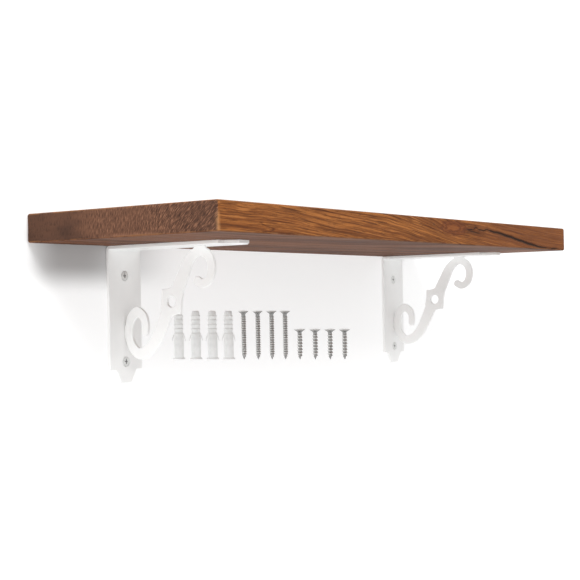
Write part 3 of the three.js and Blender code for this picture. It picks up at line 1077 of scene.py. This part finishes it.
def coat_material():
    """White powder coat on steel: a fine orange peel under a satin shine."""
    n = Nodes("white_powder_coat")
    peel = n.noise(n.place, 900.0)
    ripple = n.noise(n.place, 260.0)
    cloud = n.noise(n.place, 30.0, 3.0)
    colour = n.tinted(rgb(*COAT_DULL), (COAT_BRIGHT, n.step(cloud, 0.35, 0.65)))
    normal = n.bump(n.add(n.times(peel, 0.5), ripple), 0.05 * MM, 0.35)
    rough = n.step(cloud, 0.3, 0.7, 0.38, 0.47)
    return n.finish(colour, rough, Normal=normal, Specular_IOR_Level=0.5)


def zinc_material():
    """Bright zinc plate, with painted shade in the thread's valleys, on the side of the head and in its
    cross recess.
    """
    n = Nodes("zinc_plate")
    x, y, z = n.split(n.place)
    radius = n.math("SQRT", n.add(n.times(x, x), n.times(y, y)))
    # Painted shade: darker in the thread's valleys, on the head's cone and in its recess.
    valley_shade = n.times(n.step(radius, 2.1 * MM, 1.7 * MM), n.step(z, 2.8 * MM, 3.6 * MM))
    head_shade = n.times(n.step(z, 0.15 * MM, 0.6 * MM), n.step(z, 3.6 * MM, 2.8 * MM))
    cloud = n.noise(n.place, 500.0, 3.0)
    bright = (ZINC_BRIGHT, n.step(cloud, 0.3, 0.7))
    colour = n.tinted(rgb(*ZINC_DULL), bright, (ZINC_SHADE, n.add(valley_shade, head_shade), 0.75))
    normal = n.bump(n.noise(n.place, 2600.0), 0.02 * MM, 0.4)
    rough = n.step(cloud, 0.3, 0.7, 0.26, 0.42)
    return n.finish(colour, rough, Normal=normal, Metallic=0.9)


def nylon_material():
    """Pale grey moulded nylon with a faint grain."""
    n = Nodes("grey_nylon")
    cloud = n.noise(n.place, 220.0, 3.0)
    colour = n.tinted(rgb(*NYLON_DULL), (NYLON_BRIGHT, n.step(cloud, 0.3, 0.7)))
    normal = n.bump(n.noise(n.place, 3200.0), 0.02 * MM, 0.5)
    rough = n.step(cloud, 0.3, 0.7, 0.46, 0.58)
    return n.finish(colour, rough, Normal=normal, Specular_IOR_Level=0.4)


# ---------------- stage

FLOOR_HEIGHT = -0.62
ROOM_SIZE = 5.0
WALL_BEHIND = 0.3 * MM  # the brackets' backs
WASH_START = -0.24  # of the wall's glow, along the wall
WASH_END = -0.1
WASH_GLOW = 0.55
SKY_STRENGTH = 0.93
KEY_LIGHT = dict(place=(-0.9, -1.9, 1.2), target=(0, -0.1, 0), size=0.9, power=35)
SIDE_LIGHT = dict(place=(-2.2, -0.3, -0.1), target=(0, -0.1, -0.05), size=0.8, power=5)


def stage_sheet(name, corners, material):
    mesh = bpy.data.meshes.new(name)
    mesh.from_pydata(corners, [], [(0, 1, 2, 3)])
    mesh.materials.append(material)
    sheet = new_object(name, mesh)
    return sheet


def wall_material():
    """White paint, seen from the room side only. It glows but for a shade under the left end."""
    n = Nodes("stage_wall")
    x, y, z = n.split(n.place)
    across = n.times(n.step(x, LEFT_END - 0.03, LEFT_END + 0.04), n.step(x, WASH_END, WASH_START))
    shade = n.times(across, n.step(z, 0.02, -0.01), n.step(z, -0.056, -0.028))
    glow = n.times(n.less(1.0, shade), WASH_GLOW)
    n.finish(rgb(*WALL_PAINT), 0.9, Specular_IOR_Level=0.0, Emission_Color=WHITE, Emission_Strength=glow)
    behind = n.node("NewGeometry").outputs["Backfacing"]
    clear = n.node("BsdfTransparent").outputs[0]
    mixed = n.node("MixShader", {0: behind, 1: n.shader.outputs[0], 2: clear})
    n.feed(n.tree.nodes["Material Output"], {"Surface": mixed.outputs[0]})
    return n.material


def floor_material():
    n = Nodes("stage_floor")
    normal = n.bump(n.noise(n.place, 60.0, 3.0), 0.2 * MM, 0.1)
    return n.finish(rgb(*FLOOR_PAINT), 0.85, Normal=normal, Specular_IOR_Level=0.1)


def area_light(name, place, target, size, power):
    lamp = bpy.data.lights.new(name, "AREA")
    lamp.shape = "DISK"
    lamp.size = size
    lamp.energy = power
    light = new_object(name, lamp)
    light.location = place
    light.visible_camera = False
    light.rotation_euler = (Vector(target) - Vector(place)).to_track_quat("-Z", "Y").to_euler()


def build_stage():
    far = ROOM_SIZE / 2
    floor, wall_y = FLOOR_HEIGHT, WALL_BEHIND
    wall_corners = (-far, wall_y, floor), (far, wall_y, floor), (far, wall_y, far), (-far, wall_y, far)
    floor_corners = (-far, -far, floor), (far, -far, floor), (far, far, floor), (-far, far, floor)
    stage_sheet("stage_wall", wall_corners, wall_material()).visible_shadow = False
    stage_sheet("stage_floor", floor_corners, floor_material())
    area_light("key_light", **KEY_LIGHT)
    area_light("side_light", **SIDE_LIGHT)
    world = bpy.data.worlds.new("studio")
    world.use_nodes = True
    sky = world.node_tree.nodes["Background"]
    sky.inputs["Color"].default_value = WHITE
    sky.inputs["Strength"].default_value = SKY_STRENGTH
    bpy.context.scene.world = world
    bpy.context.scene.view_settings.view_transform = "Standard"


# ---------------- camera

CAMERA_PLACE = Vector((-1.1451, -0.8579, -0.0737))
CAMERA_YAW = math.radians(54.738)
CAMERA_PITCH = math.radians(0.906)
CAMERA_ROLL = math.radians(-1.15)
CAMERA_LENS = 89.2
CAMERA_ACROSS = Vector((math.cos(CAMERA_YAW), -math.sin(CAMERA_YAW), 0))


def camera_ahead():
    level = math.cos(CAMERA_PITCH)
    return Vector((math.sin(CAMERA_YAW) * level, math.cos(CAMERA_YAW) * level, math.sin(CAMERA_PITCH)))


def build_camera():
    ahead = camera_ahead()
    upward = CAMERA_ACROSS.cross(ahead)
    right = CAMERA_ACROSS * math.cos(CAMERA_ROLL) + upward * math.sin(CAMERA_ROLL)
    up = upward * math.cos(CAMERA_ROLL) - CAMERA_ACROSS * math.sin(CAMERA_ROLL)
    lens = bpy.data.cameras.new("photo_view")
    lens.lens = CAMERA_LENS
    lens.sensor_width = 36
    camera = new_object("photo_view", lens)
    place = Matrix((right, up, -ahead)).transposed().to_4x4()
    place.translation = CAMERA_PLACE
    camera.matrix_world = place
    bpy.context.scene.camera = camera


# ---------------- assembly


def build_shelf():
    wood, coat, zinc, nylon = wood_material(), coat_material(), zinc_material(), nylon_material()
    model_piece("board", "shelf_board", board_mesh(), wood)
    long_screw, short_screw, plug = screw_mesh(WALL_SCREW), screw_mesh(SHELF_SCREW), plug_mesh()
    for side in SIDES:
        x = bracket_x(side)
        for part, mesh in (("strap", strap_mesh(x)), ("scroll", scroll_mesh(side))):
            model_piece(f"{side}_{part}", f"{side}_bracket_{part}", mesh, coat)
        for place, drop in zip(("upper", "lower"), WALL_HOLES):
            z = UNDERSIDE - drop
            name = f"{side}_{place}_wall"
            fixing_piece(f"{name}_screw", long_screw, zinc, into_wall(x, -STRAP_THICKNESS, z))
            fixing_piece(f"{name}_plug", plug, nylon, into_wall(x, GAP, z))
        for place, out in zip(("rear", "front"), SHELF_HOLES):
            seat = offset(x, -out, UNDERSIDE - STRAP_THICKNESS)
            fixing_piece(f"{side}_{place}_shelf_screw", short_screw, zinc, seat)
    show_fixings(long_screw, short_screw, plug, zinc, nylon)


SHOWN_OFF_WALL = 7 * MM
SHOWN_START = -0.121  # of the row, along the wall
SHOWN_BASE = -0.1148  # the height of the row's lower edge at its start
SHOWN_FALL = 0.038  # how fast that edge falls along the row
SHOWN_LEAN = math.radians(5)  # of the screws, heads towards the camera
SHOWN_DISTANCE = 1.18  # a fixing this far into the picture is shown at its own size
SHOWN_COUNT = 4  # of each kind
SHOWN_PLUGS = (0.0, 25.0 * MM)  # where they start along the row, and their spacing
SHOWN_LONG = (99.5 * MM, 23.3 * MM)
SHOWN_SHORT = (195 * MM, 28.2 * MM)


def show_fixings(long_screw, short_screw, plug, zinc, nylon):
    """A second set of the fixings on the wall, for show only, all the same size in the picture."""
    wings_across = Matrix.Rotation(math.pi / 2 - CAMERA_YAW, 4, "Z")
    to_camera = Matrix.Rotation(SHOWN_LEAN, 4, CAMERA_ACROSS)
    head_up = Matrix.Rotation(math.pi, 4, "X")
    kinds = (
        ("plug", plug, nylon, UNMOVED, 0.0, wings_across, SHOWN_PLUGS),
        ("long_screw", long_screw, zinc, to_camera, WALL_SCREW["length"], head_up, SHOWN_LONG),
        ("short_screw", short_screw, zinc, to_camera, SHELF_SCREW["length"], head_up, SHOWN_SHORT),
    )
    for name, mesh, material, lean, rise, turn, (first, spacing) in kinds:
        for number in range(SHOWN_COUNT):
            along = first + spacing * number
            base = Vector((SHOWN_START + along, -SHOWN_OFF_WALL, SHOWN_BASE - SHOWN_FALL * along))
            scale = (base - CAMERA_PLACE).dot(camera_ahead()) / SHOWN_DISTANCE
            place = offset(*base) @ lean @ offset(0, 0, rise * scale) @ turn
            place = place @ Matrix.Scale(scale, 4)
            fixing = shown(f"shown_{name}_{number + 1}", mesh.copy(), material, place)
            fixing.visible_shadow = False
            fixing.visible_diffuse = False


build_camera()
build_shelf()
build_stage()
